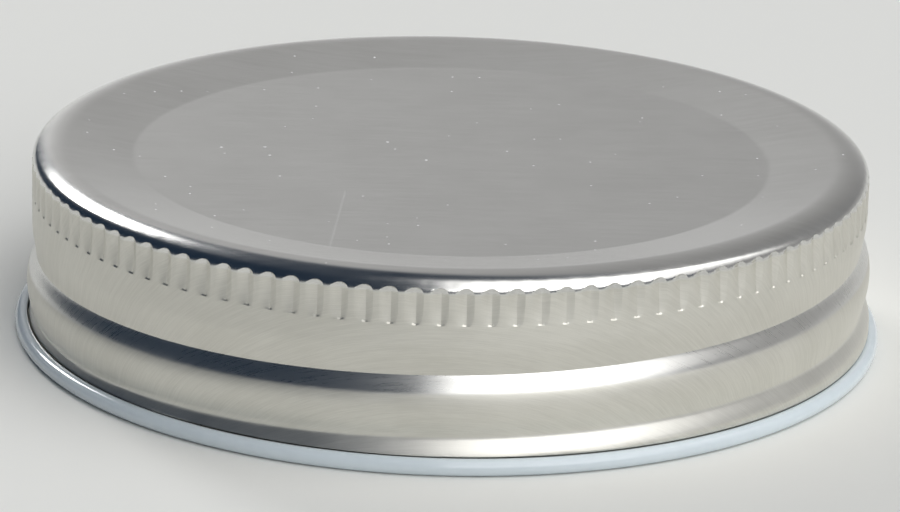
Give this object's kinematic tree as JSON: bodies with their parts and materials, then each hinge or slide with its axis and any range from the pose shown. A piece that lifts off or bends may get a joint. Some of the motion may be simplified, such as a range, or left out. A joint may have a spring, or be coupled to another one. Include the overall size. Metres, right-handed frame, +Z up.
{
  "type": "jar lid",
  "caption": "Round pressed-metal screw-on jar lid with a centre panel sunk inside a shallow ramped rim, fluted grip band, rolled thread and outward-rolled enamelled edge.",
  "frame": {"origin": "centre of the circle that the lid stands on, under the rolled edge", "axes": "+Z up along the lid's axis, out of the top panel; -Y is the side that faces the picture's camera"},
  "size_m": [0.074, 0.074, 0.0161],
  "materials": {
    "lid_sheet": "finely brushed outside, pale blue-white gloss enamel inside and on the rolled edge",
    "seal_compound": "smooth satin compound"
  },
  "bodies": {
    "root": {"lid_shell": "lid_sheet", "sealing_ring": "seal_compound"}
  },
  "joints": []
}
